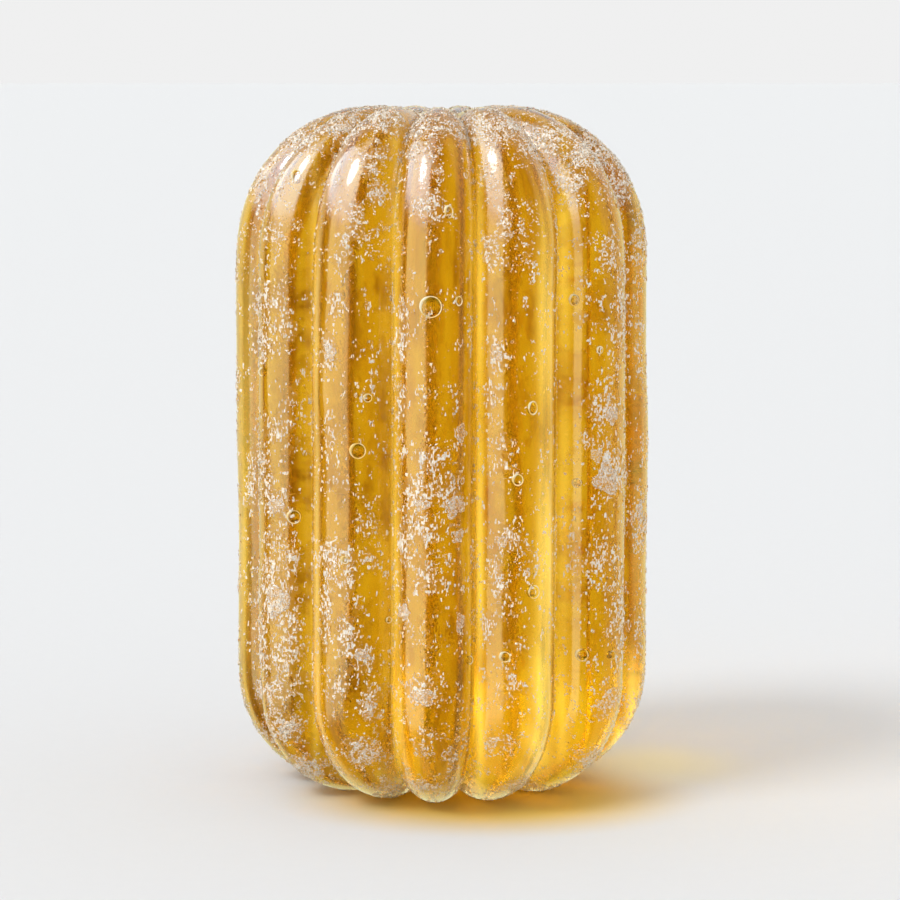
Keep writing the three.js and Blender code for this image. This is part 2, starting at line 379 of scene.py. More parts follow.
def fill(tree, node, inputs):
    """Gives inputs of a node their values. A value that is a socket is linked."""
    for name, value in inputs.items():
        if isinstance(value, bpy.types.NodeSocket):
            tree.links.new(value, node.inputs[name])
        elif value is not None:
            node.inputs[name].default_value = value


def add_node(tree, kind, inputs, **settings):
    node = tree.nodes.new(kind)
    for name, value in settings.items():
        setattr(node, name, value)
    fill(tree, node, inputs)
    return node


def add_math(tree, operation, first, second=None, third=None):
    inputs = {0: first, 1: second, 2: third}
    return add_node(tree, "ShaderNodeMath", inputs, operation=operation).outputs[0]


def add_mix(tree, factor, first, second, kind="RGBA"):
    """Goes from the first colour or value to the second."""
    inputs = {"Factor": factor, "A": first, "B": second}
    return add_node(tree, "ShaderNodeMix", inputs, data_type=kind).outputs["Result"]


def add_ramp(tree, value, low, high, to_low=0.0, to_high=1.0):
    """A smooth step of a value between two limits."""
    inputs = {"Value": value, "From Min": low, "From Max": high,
              "To Min": to_low, "To Max": to_high}
    node = add_node(tree, "ShaderNodeMapRange", inputs, interpolation_type="SMOOTHSTEP")
    return node.outputs["Result"]


def add_noise(tree, vector, size, detail=2.0, roughness=0.5):
    """Noise whose lumps are about the given size in metres."""
    inputs = {"Vector": vector, "Scale": 1 / size, "Detail": detail, "Roughness": roughness}
    return add_node(tree, "ShaderNodeTexNoise", inputs).outputs["Fac"]


def add_bump(tree, height, distance, strength):
    inputs = {"Height": height, "Distance": distance, "Strength": strength}
    return add_node(tree, "ShaderNodeBump", inputs).outputs[0]


# %% Build the group
RAGGED = 0.75 * MM
RAGGED_PUSH = 2.1
PIT = 0.13 * MM
PATCH_FROM, PATCH_FULL = 0.2, 0.7  # frost levels
LEAST_ETCH = 0.02


def add_level(tree, vector, amount):
    """The frost amount, pushed up and down so that its patches get ragged outlines."""
    ragged = add_noise(tree, vector, RAGGED, detail=3, roughness=0.68)
    push = add_math(tree, "MULTIPLY_ADD", ragged, RAGGED_PUSH, -RAGGED_PUSH / 2)
    return add_math(tree, "ADD", amount, push)


etching = bpy.data.node_groups.new("frost etching", "ShaderNodeTree")
for name, in_out, kind in (("Vector", "INPUT", "Vector"), ("Amount", "INPUT", "Float"),
                           ("Patch", "OUTPUT", "Float"), ("Height", "OUTPUT", "Float")):
    etching.interface.new_socket(name, in_out=in_out, socket_type="NodeSocket" + kind)
given = etching.nodes.new("NodeGroupInput").outputs
level = add_level(etching, given["Vector"], given["Amount"])
patch = add_ramp(etching, level, PATCH_FROM, PATCH_FULL)
pits = add_noise(etching, given["Vector"], PIT, detail=0)
deep = add_math(etching, "ADD", given["Amount"], LEAST_ETCH - THIN_FROST)
height = add_math(etching, "MULTIPLY", deep, pits)
add_node(etching, "NodeGroupOutput", {"Patch": patch, "Height": height})
print("etching group has", len(etching.nodes), "nodes")

# %% [markdown]
# ## Clear amber sugar
# Boiled sugar is a glass with a refractive index near 1.5. On the real candy the amber comes
# from depth. Here most of it is a tint on the surface and only a smaller share is a volume
# that absorbs blue, because the ribs at the sides are as amber as those in the middle. A
# volume alone made the middle muddy and the sides pale.

# %% Make the clear sugar and dress the body
AMBER_PASSED = (0.980, 0.870, 0.10)
AMBER_DENSITY = 122
PALE_SYRUP = (0.88, 0.54, 0.03, 1)
DEEP_SYRUP = (0.81, 0.435, 0.015, 1)
BROWN_UNDER_FROST = (0.76, 0.39, 0.02, 1)
BROWN_SHARE = 0.55
CLEAR_ROUGHNESS, ETCHED_ROUGHNESS = 0.16, 0.42
PITTING = 0.05 * MM
GLOW_COLOUR = (1.0, 0.86, 0.16, 1)
GLOW_STRENGTH = 0.6

amber, tree, shader, place = new_material("amber_sugar_clear")
amount_here = add_node(tree, "ShaderNodeAttribute", {}, attribute_name="frost")
here = {"Vector": place, "Amount": amount_here.outputs["Fac"]}
etched = add_node(tree, "ShaderNodeGroup", here, node_tree=etching).outputs

# Pulled sugar has faint upright streaks of deeper and paler syrup.
stretch = add_node(tree, "ShaderNodeMapping", {"Vector": place, "Scale": (1, 1, 0.06)})
streaks = add_noise(tree, stretch.outputs[0], 0.5 * MM, detail=2)
tint = add_mix(tree, add_ramp(tree, streaks, 0.35, 0.65), PALE_SYRUP, DEEP_SYRUP)
# Under the frost the sugar is a deeper brown, and it is rough.
brown_share_here = add_math(tree, "MULTIPLY", etched["Patch"], BROWN_SHARE)
rough = add_ramp(tree, etched["Patch"], 0.0, 1.0, CLEAR_ROUGHNESS, ETCHED_ROUGHNESS)
glow_here = add_node(tree, "ShaderNodeAttribute", {}, attribute_name="glow")
fill(tree, shader, {
    "Base Color": add_mix(tree, brown_share_here, tint, BROWN_UNDER_FROST),
    "Roughness": rough,
    "Transmission Weight": 1.0,
    "IOR": 1.5,
    "Coat Weight": 1.0,
    "Coat Roughness": 0.04,
    "Coat IOR": 1.45,
    # The mass under the polish is pitted all over, the polish itself hardly at all.
    "Normal": add_bump(tree, etched["Height"], PITTING, 0.8),
    "Coat Normal": add_bump(tree, etched["Height"], PITTING, 0.22),
    "Emission Color": add_mix(tree, glow_here.outputs["Fac"], (0, 0, 0, 1), GLOW_COLOUR),
    "Emission Strength": GLOW_STRENGTH,
})
amber.cycles.emission_sampling = "NONE"  # too faint to light anything else

inputs = {"Color": (*AMBER_PASSED, 1), "Density": AMBER_DENSITY}
absorb = add_node(tree, "ShaderNodeVolumeAbsorption", inputs)
tree.links.new(absorb.outputs[0], tree.nodes["Material Output"].inputs["Volume"])

dress(body, amber)
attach(body, "root")
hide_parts("candy")
print(body.name, "wears", amber.name)

# %% [markdown]
# ## Crystals of frost
# Up close the frost is a tangle of tiny white crystals fused to the skin: curled threads,
# splinters, chips, grains, small rings where bubbles burst, and flat plates where it is
# thickest. Each kind is modelled a few times with few faces, because it is repeated by the
# thousand. Real mesh glints and stands proud as the real crystals do.

# %% Model a grain: a lumpy ball
def finish_shape(name):
    bpy.ops.object.mode_set(mode="OBJECT")
    shape = bpy.context.object
    shape.name = name
    shape.data.name = name
    return shape


def make_grain(seed):
    bpy.ops.mesh.primitive_ico_sphere_add(subdivisions=1, radius=0.5)
    open_mesh()
    bpy.ops.transform.vertex_random(offset=0.22, seed=seed)
    bpy.ops.transform.resize(value=(1.0, 0.8, 0.6))
    return finish_shape("grain_%d" % seed)


# %% Model a thread: a thin sliver extruded in a curl
def make_thread(seed, steps, thickness, least_curl, most_curl):
    """A three-sided sliver of unit length that curls as it goes."""
    chance = random.Random(seed)
    bpy.ops.mesh.primitive_circle_add(vertices=3, radius=thickness, fill_type="NGON")
    open_mesh()
    bpy.ops.transform.rotate(value=math.pi / 2, orient_axis="Y", center_override=(0, 0, 0))
    heading = chance.uniform(-0.6, 0.6)
    curl = chance.choice((-1, 1)) * chance.uniform(least_curl, most_curl)
    reach = 0.5 * max(0.35, 1 - abs(curl) * 0.45)
    bpy.ops.transform.translate(value=(-reach, 0, 0.3 * thickness))
    for step in range(steps):
        ahead, aside = math.cos(heading) / steps, math.sin(heading) / steps
        stride = (ahead, aside, chance.uniform(-0.02, 0.03))
        bpy.ops.mesh.extrude_region_move(TRANSFORM_OT_translate={"value": stride})
        bpy.ops.transform.rotate(value=curl, orient_axis="Z")
        swell = 0.5 if step == steps - 1 else chance.uniform(0.85, 1.3)
        bpy.ops.transform.resize(value=(swell, swell, swell))
        heading += curl
    bpy.ops.mesh.select_all(action="SELECT")
    bpy.ops.mesh.normals_make_consistent(inside=False)
    return finish_shape("thread_%d" % seed)


# %% Model a splinter: two cones, base to base, with a bend
def make_splinter(seed):
    """A bent splinter of six triangles: two tips and a three-cornered waist."""
    chance = random.Random(seed)
    bpy.ops.mesh.primitive_cone_add(
        vertices=3, radius1=chance.uniform(0.13, 0.24), depth=0.5, end_fill_type="NOTHING")
    splinter = bpy.context.object
    open_mesh()
    bpy.ops.transform.translate(value=(0, 0, 0.25))
    bpy.ops.mesh.duplicate()
    bpy.ops.transform.resize(value=(1, 1, -1), center_override=(0, 0, 0))
    bpy.ops.mesh.select_all(action="SELECT")
    bpy.ops.mesh.remove_doubles(threshold=1e-4)
    bpy.ops.mesh.normals_make_consistent(inside=False)
    bpy.ops.transform.rotate(value=math.pi / 2, orient_axis="Y", center_override=(0, 0, 0))
    bpy.ops.transform.vertex_random(offset=0.06, seed=seed)
    bpy.ops.mesh.select_all(action="DESELECT")
    bpy.ops.object.mode_set(mode="OBJECT")
    for vertex in splinter.data.vertices:
        vertex.select = abs(vertex.co.x) < 0.3
    bpy.ops.object.mode_set(mode="EDIT")
    bend = chance.choice((-1, 1)) * chance.uniform(0.0, 0.2)
    bpy.ops.transform.translate(value=(chance.uniform(-0.2, 0.2), bend, 0.06))
    return finish_shape("splinter_%d" % seed)


# %% Model a chip, a ring and a plate
def make_chip(seed):
    """A flat chip with four faces."""
    bpy.ops.mesh.primitive_cone_add(vertices=3, radius1=0.5, depth=0.4, end_fill_type="NGON")
    open_mesh()
    bpy.ops.transform.vertex_random(offset=0.16, seed=seed)
    bpy.ops.transform.resize(value=(1, 0.55 + 0.1 * (seed % 4), 0.6))
    bpy.ops.transform.translate(value=(0, 0, 0.05))
    return finish_shape("chip_%d" % seed)


def make_ring(seed):
    """The rim of a burst bubble: a thin uneven ring lying flat."""
    bpy.ops.mesh.primitive_torus_add(
        major_segments=8, minor_segments=3, major_radius=0.42, minor_radius=0.085)
    open_mesh()
    bpy.ops.transform.vertex_random(offset=0.05, seed=seed)
    bpy.ops.transform.resize(value=(1, 0.7 + 0.1 * (seed % 3), 1))
    return finish_shape("ring_%d" % seed)


def make_plate(seed):
    """A thin flat plate with seven uneven sides."""
    bpy.ops.mesh.primitive_circle_add(vertices=7, radius=0.5, fill_type="NGON")
    open_mesh()
    bpy.ops.transform.vertex_random(offset=0.2, seed=seed)
    bpy.ops.transform.resize(value=(1, 1, 0.15))
    bpy.ops.mesh.extrude_region_move(TRANSFORM_OT_translate={"value": (0, 0, 0.18)})
    bpy.ops.transform.resize(value=(0.8, 0.8, 0.5))
    bpy.ops.mesh.select_all(action="SELECT")
    bpy.ops.mesh.normals_make_consistent(inside=False)
    return finish_shape("plate_%d" % seed)


# %% Model a few of each kind
grain_shapes = [make_grain(seed) for seed in range(4)]
lace_shapes = [make_thread(seed, 3, 0.07, 0.3, 1.3) for seed in range(8)]
splinter_shapes = [make_splinter(seed) for seed in range(10)]
chip_shapes = [make_chip(seed) for seed in range(10)]
ring_shapes = [make_ring(seed) for seed in range(4)]
plate_shapes = [make_plate(seed) for seed in range(4)]
ALL_SHAPES = [
    grain_shapes, lace_shapes, splinter_shapes, chip_shapes, ring_shapes, plate_shapes]
for shapes in ALL_SHAPES:
    print(shapes[0].name, triangles(shapes[0]), "triangles")

# %% [markdown]
# Geometry nodes then lay the crystals. A copy of the skin is the ground, points are scattered
# on it as densely as the frost attribute says, each point gets a crystal of its kind, and the
# instances are made real, so that every kind ends as one plain mesh.

# %% Helpers for growing things on a copy of the skin
def add_random(tree, kind, low, high, seed):
    node = tree.nodes.new("FunctionNodeRandomValue")
    node.data_type = kind
    sockets = [
        socket for socket in node.inputs if socket.enabled and socket.name in ("Min", "Max")]
    sockets[0].default_value = low
    sockets[1].default_value = high
    node.inputs["Seed"].default_value = seed
    return [socket for socket in node.outputs if socket.enabled][0]


def skin_tree(name):
    """A geometry node tree with the skin, the place on it and the frost level there."""
    tree = bpy.data.node_groups.new(name, "GeometryNodeTree")
    tree.interface.new_socket("Skin", in_out="INPUT", socket_type="NodeSocketGeometry")
    tree.interface.new_socket("Frost", in_out="OUTPUT", socket_type="NodeSocketGeometry")
    skin = tree.nodes.new("NodeGroupInput").outputs[0]
    amount = add_node(
        tree, "GeometryNodeInputNamedAttribute", {"Name": "frost"}, data_type="FLOAT")
    where = tree.nodes.new("GeometryNodeInputPosition").outputs[0]
    return tree, skin, where, add_level(tree, where, amount.outputs[0])


def grown(name, tree, geometry):
    """A copy of the skin that the tree has turned into frost, as plain mesh."""
    add_node(tree, "NodeGroupOutput", {0: geometry})
    host = body.copy()
    host.data = body.data.copy()
    host.name = name
    host.data.name = name
    bpy.context.collection.objects.link(host)
    host.data.materials.clear()
    growing = host.modifiers.new("grow", "NODES")
    growing.node_group = tree
    work_on(host)
    bpy.ops.object.modifier_apply(modifier=growing.name)
    print(name, triangles(host), "triangles")
    return host


# %% Strew one kind of crystal over the skin
CLUMP = 0.28 * MM
CLUMP_PUSH = 1.4
MOSTLY_SMALL = 2.0  # the power that makes large crystals rare


def strew(name, shapes, per_square_mm, sizes, levels, tilt, seed):
    """Crystals that lie denser from one frost level to the next, as one mesh of their own."""
    tree, skin, where, level = skin_tree(name)
    fine = add_noise(tree, where, CLUMP, detail=1)
    fine = add_math(tree, "MULTIPLY_ADD", fine, CLUMP_PUSH, -CLUMP_PUSH / 2)
    level = add_math(tree, "ADD", level, fine)
    share = add_ramp(tree, level, levels[0], levels[1])
    density = add_math(tree, "MULTIPLY", share, per_square_mm / MM**2)
    points = add_node(tree, "GeometryNodeDistributePointsOnFaces",
                      {"Mesh": skin, "Density": density, "Seed": seed})
    pool = tree.nodes.new("GeometryNodeJoinGeometry")
    for shape in shapes:
        source = add_node(
            tree, "GeometryNodeObjectInfo", {"Object": shape, "As Instance": True})
        tree.links.new(source.outputs["Geometry"], pool.inputs[0])
    which = add_random(tree, "INT", 0, len(shapes) - 1, seed + 1)
    spin = add_random(
        tree, "FLOAT_VECTOR", (-tilt, -tilt, 0), (tilt, tilt, 2 * math.pi), seed + 2)
    turn = add_node(tree, "FunctionNodeRotateRotation",
                    {0: points.outputs["Rotation"], 1: spin}, rotation_space="LOCAL")
    luck = add_random(tree, "FLOAT", 0.0, 1.0, seed + 3)
    luck = add_math(tree, "POWER", luck, MOSTLY_SMALL)
    size = add_math(tree, "MULTIPLY_ADD", luck, sizes[1] - sizes[0], sizes[0])
    lay = add_node(tree, "GeometryNodeInstanceOnPoints", {
        "Points": points.outputs["Points"], "Instance": pool.outputs[0],
        "Pick Instance": True, "Instance Index": which,
        "Rotation": turn.outputs[0], "Scale": size})
    real = add_node(tree, "GeometryNodeRealizeInstances", {0: lay.outputs[0]})
    return grown(name, tree, real.outputs[0])


# %% [markdown]
# Where the frost is thick its crystals have fused, and loose shapes would look like litter.
# So the crust is made from the skin itself: the patches are cut out, subdivided until a facet
# is as small as a grain, thinned by noise into a net and lifted a little. It stays an open
# sheet that lies on the sugar, because it is far thinner than a closed crystal could be.

# %% Grow the crust as a fine net of mesh
GRAIN = 0.05 * MM
CLUSTER = 0.22 * MM
CRUST_JITTER = 0.026 * MM
CRUST_FINENESS = 2  # facets are then about 0.04 mm across


def grow_crust(name, levels, shares, rise, seed):
    """A net of tiny facets on the skin that closes up where the frost is thicker."""
    tree, skin, where, level = skin_tree(name)
    # Work only on the patches: the rest of the skin goes before the mesh is made finer.
    inside = add_math(tree, "MULTIPLY", add_math(tree, "GREATER_THAN", level, levels[0]),
                      add_math(tree, "LESS_THAN", level, levels[1]))
    patch = add_node(tree, "GeometryNodeSeparateGeometry",
                     {"Geometry": skin, "Selection": inside}, domain="FACE")
    fine = add_node(tree, "GeometryNodeSubdivideMesh",
                    {"Mesh": patch.outputs[0], "Level": CRUST_FINENESS})
    # A facet stays where two noises, one of grains and one of clusters, are high together.
    grains_there = add_noise(tree, where, GRAIN, detail=0)
    clusters = add_noise(tree, where, CLUSTER, detail=2)
    relief = add_math(tree, "ADD", add_ramp(tree, grains_there, 0.25, 0.75),
                      add_ramp(tree, clusters, 0.35, 0.65, -0.35, 0.35))
    share = add_ramp(tree, level, levels[0], levels[0] + 0.6, shares[0], shares[1])
    height = add_math(tree, "SUBTRACT", add_math(tree, "ADD", relief, share), 1.0)
    kept = {"Geometry": fine.outputs[0], "Selection": add_math(tree, "GREATER_THAN", height, 0.0)}
    keep = add_node(tree, "GeometryNodeSeparateGeometry", kept, domain="FACE")
    normal = tree.nodes.new("GeometryNodeInputNormal").outputs[0]
    up = add_math(tree, "MULTIPLY_ADD", add_math(tree, "MAXIMUM", height, 0.0), rise, rise / 3)
    lift = add_node(tree, "ShaderNodeVectorMath", {0: normal, "Scale": up}, operation="SCALE")
    # Every corner is nudged a little, so no row of facets stays straight.
    nudge = add_random(tree, "FLOAT_VECTOR", (-CRUST_JITTER,) * 3, (CRUST_JITTER,) * 3, seed)
    offset = add_node(tree, "ShaderNodeVectorMath", {0: lift.outputs[0], 1: nudge})
    raised = add_node(tree, "GeometryNodeSetPosition",
                      {"Geometry": keep.outputs[0], "Offset": offset.outputs[0]})
    return grown(name, tree, raised.outputs[0])


THICK = 0.55  # the frost level where the thin bloom gives way to the crust
crust = grow_crust("frost_crust", (THICK, 9.0), (0.18, 0.6), 0.05 * MM, 3)
bloom = grow_crust("frost_bloom", (0.2, THICK), (-0.07, 0.17), 0.03 * MM, 8)

# %% Strew the loose kinds
# Each kind: name, shapes, most per square mm, least and largest size, the frost levels where
# it starts and where it is densest, tilt, seed.
lace = strew("frost_lace", lace_shapes, 5.0, (0.12 * MM, 0.30 * MM), (0.3, 0.8), 0.12, 5)
splinters = strew(
    "frost_splinters", splinter_shapes, 26.0, (0.05 * MM, 0.2 * MM), (0.3, 0.8), 0.2, 41)
chips = strew("frost_chips", chip_shapes, 70.0, (0.03 * MM, 0.1 * MM), (0.3, 0.9), 0.3, 97)
rings = strew("frost_rings", ring_shapes, 2.5, (0.12 * MM, 0.3 * MM), (0.3, 1.0), 0.12, 71)
grains = strew("frost_grains", grain_shapes, 5.0, (0.06 * MM, 0.15 * MM), (0.3, 1.0), 0.5, 17)
dust = strew("frost_dust", chip_shapes, 7.0, (0.03 * MM, 0.1 * MM), (-0.6, 0.4), 0.5, 53)
plates = strew("frost_plates", plate_shapes, 5.0, (0.08 * MM, 0.2 * MM), (0.6, 1.1), 0.2, 29)

# %% Give the crystals their sugar white
SPECKLE = 0.06 * MM
DARK_FROST = (0.94, 0.71, 0.46, 1)
PALE_FROST = (0.99, 0.95, 0.86, 1)

white, tree, shader, place = new_material("sugar_frost")
speckle = add_noise(tree, place, SPECKLE, detail=1)
paler = add_ramp(tree, speckle, 0.35, 0.6)
fill(tree, shader, {
    "Base Color": add_mix(tree, paler, DARK_FROST, PALE_FROST),
    "Roughness": 0.25,
    "Normal": add_bump(tree, speckle, 0.01 * MM, 0.4),
})
for piece in (crust, bloom, lace, splinters, chips, rings, grains, dust, plates):
    dress(piece, white)
    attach(piece, "root")
    print(piece.name, "wears", white.name)
for shape in sum(ALL_SHAPES, []):
    bpy.data.objects.remove(shape)

# %% [markdown]
# ## Air bubbles
# A few bubbles of air sit just under the skin, where the syrup was too thick to let them go.
# Air in sugar bends light the other way, so the index is one over that of the sugar. Their
# places are read off the photograph. Each is pushed straight in from the point where the
# line of sight meets the skin. Clear air alone looked like a dark disc, so each one also has
# a thin pale ring on its edge, a painted highlight, thicker on the window side as a painted
# crescent highlight.

# %% Model the bubbles
# Each bubble: column, row, width and height in pixels of the photograph.
BUBBLES = [
    (431, 307, 21, 21), (358, 451, 15, 15), (294, 517, 13, 13), (296, 176, 8, 13),
    (533, 408, 9, 13), (518, 480, 10, 11), (577, 483, 9, 9), (534, 592, 11, 13),
    (505, 657, 10, 10), (582, 655, 12, 12), (459, 301, 7, 9), (368, 398, 8, 8),
    (574, 300, 9, 11), (449, 212, 8, 12), (262, 372, 7, 8), (600, 350, 6, 7),
    (345, 560, 7, 7), (389, 620, 6, 6), (470, 660, 7, 8), (612, 655, 8, 8),
]
BUBBLE_DEPTH = 0.06 * MM


def skin_under(column, row):
    """Where a line of sight meets the skin, its direction and the size of a pixel there."""
    start, direction = ray_through(column, row)
    _, place, normal, _ = body.ray_cast(start, direction)
    pixel = (place - start).length / PIXELS_PER_UNIT
    return place, normal, direction, pixel


def join_as(name, pieces):
    """Makes one smooth mesh of many, with its own axes at the origin."""
    bpy.ops.object.select_all(action="DESELECT")
    for piece in pieces:
        piece.select_set(True)
    bpy.context.view_layer.objects.active = pieces[0]
    bpy.ops.object.join()
    joined = bpy.context.object
    bpy.ops.object.transform_apply(location=True, rotation=True, scale=True)
    bpy.ops.object.shade_smooth()
    joined.name = name
    joined.data.name = name
    print(name, triangles(joined), "triangles")
    return joined


bubbles = []
for column, row, width, height in BUBBLES:
    place, normal, direction, pixel = skin_under(column, row)
    half_width, half_height = width * pixel / 2, height * pixel / 2
    centre = place - normal * (half_width + BUBBLE_DEPTH)
    bpy.ops.mesh.primitive_uv_sphere_add(segments=24, ring_count=14, radius=1, location=centre)
    bubble = bpy.context.object
    bubble.scale = (half_width, half_width, half_height)
    bubbles.append(bubble)
air = join_as("air_bubbles", bubbles)

# %% Give each bubble a pale ring, a painted highlight on its edge
RIM = 0.02 * MM
CRESCENT_SWELL = 2  # how much thickness the ring gains on the side of the window, a painted crescent highlight
TO_WINDOW = Vector((-0.93, 0, 0.37))
TO_CAMERA = 0.6  # how far each ring tips from the skin towards the camera

rim_highlights = []
for column, row, width, height in BUBBLES:
    place, normal, direction, pixel = skin_under(column, row)
    half_width, half_height = width * pixel / 2, height * pixel / 2
    bpy.ops.mesh.primitive_torus_add(
        major_segments=28, minor_segments=6, major_radius=1, minor_radius=RIM / half_width,
        location=place,
        rotation=(normal - TO_CAMERA * direction).to_track_quat("Z", "Y").to_euler())
    rim = bpy.context.object
    turned = rim.rotation_euler.to_matrix()
    # The ring is thickened towards the window: a painted crescent highlight.
    for vertex in rim.data.vertices:
        ring_place = Vector((vertex.co.x, vertex.co.y, 0)).normalized()
        to_window = max(0, (turned @ ring_place).dot(TO_WINDOW))
        vertex.co = ring_place + (vertex.co - ring_place) * (1 + CRESCENT_SWELL * to_window ** 3)
    rim.scale = (half_width, half_height, half_width)
    rim_highlights.append(rim)
bubble_rims = join_as("bubble_rims", rim_highlights)

# %% Fill them with air and give the rings a pale painted highlight
SUGAR_TO_AIR = 0.667
DARK_RIM_HIGHLIGHT = (0.95, 0.66, 0.20, 1)
PALE_RIM_HIGHLIGHT = (1.0, 0.90, 0.62, 1)

emptiness, tree, shader, place = new_material("trapped_air")
cloud = add_noise(tree, place, 0.2 * MM, detail=1)
fill(tree, shader, {
    "Base Color": (1.0, 0.97, 0.88, 1),
    "Roughness": add_ramp(tree, cloud, 0.3, 0.7, 0.0, 0.06),
    "Transmission Weight": 1.0,
    "IOR": SUGAR_TO_AIR,
})
dress(air, emptiness)
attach(air, "root")

# The rings are painted highlights, pale in patchy tones.
rim_highlight_paint, tree, shader, place = new_material("rim_highlight_paint")
patchy = add_noise(tree, place, 0.25 * MM, detail=1)
paler = add_ramp(tree, patchy, 0.35, 0.65)
rim_highlight_tone = add_mix(tree, paler, DARK_RIM_HIGHLIGHT, PALE_RIM_HIGHLIGHT)
fill(tree, shader, {"Base Color": rim_highlight_tone, "Roughness": 0.2})
dress(bubble_rims, rim_highlight_paint)
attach(bubble_rims, "root")
print(air.name, "wears", emptiness.name, "and", bubble_rims.name, "wears", rim_highlight_paint.name)

# %% [markdown]
# ## Films of dried syrup
# Here and there a thin whitish film lies flat on the skin, with a denser rim. Each is a flat
# disc, made ragged, laid on the skin by a shrinkwrap modifier and given a little thickness. A
# procedural alpha lets the amber through between its flecks.

# %% Lay the films
# Each film: column, row, width and height in pixels of the photograph.
FILMS = [
    (461, 433, 12, 18), (455, 507, 22, 20), (458, 536, 12, 14), (607, 479, 26, 34),
    (422, 505, 16, 12), (596, 455, 14, 14), (460, 622, 10, 18), (276, 505, 16, 16),
    (404, 612, 12, 16), (502, 541, 12, 14), (330, 352, 12, 20), (496, 353, 12, 20),
    (278, 600, 26, 30), (424, 697, 30, 16), (612, 415, 14, 18), (288, 728, 18, 14),
    (362, 655, 18, 14), (588, 150, 24, 14), (345, 128, 20, 10), (640, 512, 6, 22),
]
FILM_LIFT = 0.015 * MM
FILM_THICKNESS = 0.02 * MM
FILM_START = 0.4 * MM  # each disc starts this far out and is then pressed onto the skin
FLATTEST = 0.35  # skin seen at a flatter angle than this doesn't widen a film any more

films = []
for index, (column, row, width, height) in enumerate(FILMS):
    place, normal, direction, pixel = skin_under(column, row)
    bpy.ops.mesh.primitive_circle_add(
        vertices=18, radius=0.5, fill_type="TRIFAN", location=place + normal * FILM_START,
        rotation=normal.to_track_quat("Z", "Y").to_euler())
    film = bpy.context.object
    foreshortening = max(FLATTEST, -normal.dot(direction))
    film.scale = (width * pixel / foreshortening, height * pixel, 1)
    open_mesh()
    bpy.ops.mesh.subdivide(number_cuts=3)
    bpy.ops.object.mode_set(mode="OBJECT")
    chance = random.Random(index)
    lumps = [(chance.uniform(0.06, 0.16), chance.uniform(0, 6.3)) for _ in range(4)]
    for vertex in film.data.vertices:
        turn = math.atan2(vertex.co.y, vertex.co.x)
        ragged = sum(
            size * math.sin((waves + 2) * turn + phase)
            for waves, (size, phase) in enumerate(lumps))
        vertex.co.xy *= 0.9 + ragged
    bpy.ops.object.transform_apply(location=False, rotation=False, scale=True)
    laid = film.modifiers.new("lay on the skin", "SHRINKWRAP")
    laid.target = body
    laid.wrap_method = "PROJECT"
    laid.use_project_z = True
    laid.use_negative_direction = True
    laid.use_positive_direction = False
    laid.offset = FILM_LIFT
    thick = film.modifiers.new("thickness", "SOLIDIFY")
    thick.thickness = FILM_THICKNESS
    thick.offset = 1
    bpy.ops.object.modifier_apply(modifier=laid.name)
    bpy.ops.object.modifier_apply(modifier=thick.name)
    films.append(film)
dried = join_as("dried_films", films)

# %% Make them a whitish haze
DARK_FLECK = (0.90, 0.62, 0.36, 1)
PALE_FLECK = (0.98, 0.92, 0.84, 1)

film_sugar, tree, shader, place = new_material("dried_syrup")
fine = add_noise(tree, place, SPECKLE, detail=1)
blotches = add_noise(tree, place, 0.2 * MM, detail=2)
haze = add_ramp(tree, blotches, 0.4, 0.6, 0.2, 0.75)
flecks = add_ramp(tree, fine, 0.45, 0.62)
disc = {0: place.node.outputs["UV"], 1: (0.5, 0.5, 0)}
from_middle = add_node(tree, "ShaderNodeVectorMath", disc, operation="DISTANCE")
edge = add_ramp(tree, from_middle.outputs["Value"], 0.36, 0.46, 0.0, 0.95)
cover = add_math(tree, "MULTIPLY", add_math(tree, "MAXIMUM", haze, edge),
                 add_math(tree, "MULTIPLY_ADD", flecks, 0.7, 0.3))
film_tone = add_mix(tree, flecks, DARK_FLECK, PALE_FLECK)
fill(tree, shader, {"Base Color": film_tone, "Roughness": 0.35, "Alpha": cover})
dress(dried, film_sugar)
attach(dried, "root")
print(dried.name, "wears", film_sugar.name)

# %% [markdown]
# ## Studio
# The candy stood on white paper in a bright room. A sun lamp gives the soft shadow to the
# right, and a pale world gives the even light. What shines on the ribs is a large window on
# the left, so reflections see a sky of their own: a bright window on the left that fades
# downwards, a dim wall on the right, a pale room behind and darkness in front. The amber light
# at the foot is partly tinted into the paper, because a path tracer finds such light late.

# %% Lay the paper
PAPER_SIDE = 40.0  # so large that its edge nearly reaches the horizon
PAPER_DARK = (0.760, 0.766, 0.774, 1)
PAPER_PALE = (0.775, 0.781, 0.789, 1)

bpy.ops.mesh.primitive_plane_add(size=PAPER_SIDE, location=(0, 0, 0))
paper = bpy.context.object
paper.name = "paper"
paper_stuff, tree, shader, place = new_material("white_paper")
fibre = add_noise(tree, place, 0.6 * MM, detail=4)
paper_colour = add_mix(tree, fibre, PAPER_DARK, PAPER_PALE)
print("paper", PAPER_SIDE, "metres wide")

# %% Throw the candy's amber light on the paper
# Each spot: column, row, half across and half along in metres, softness, strength, colour.
SPOTS = [
    (490, 797, 6.0 * MM, 4.6 * MM, 0.45, 0.9, (0.76, 0.50, 0.05, 1)),
    (652, 764, 2.6 * MM, 2.6 * MM, 0.9, 0.55, (0.98, 0.90, 0.52, 1)),
]


def floor_under(column, row):
    """The place on the paper that is seen at one pixel."""
    start, direction = ray_through(column, row)
    return start - direction * (start.z / direction.z)


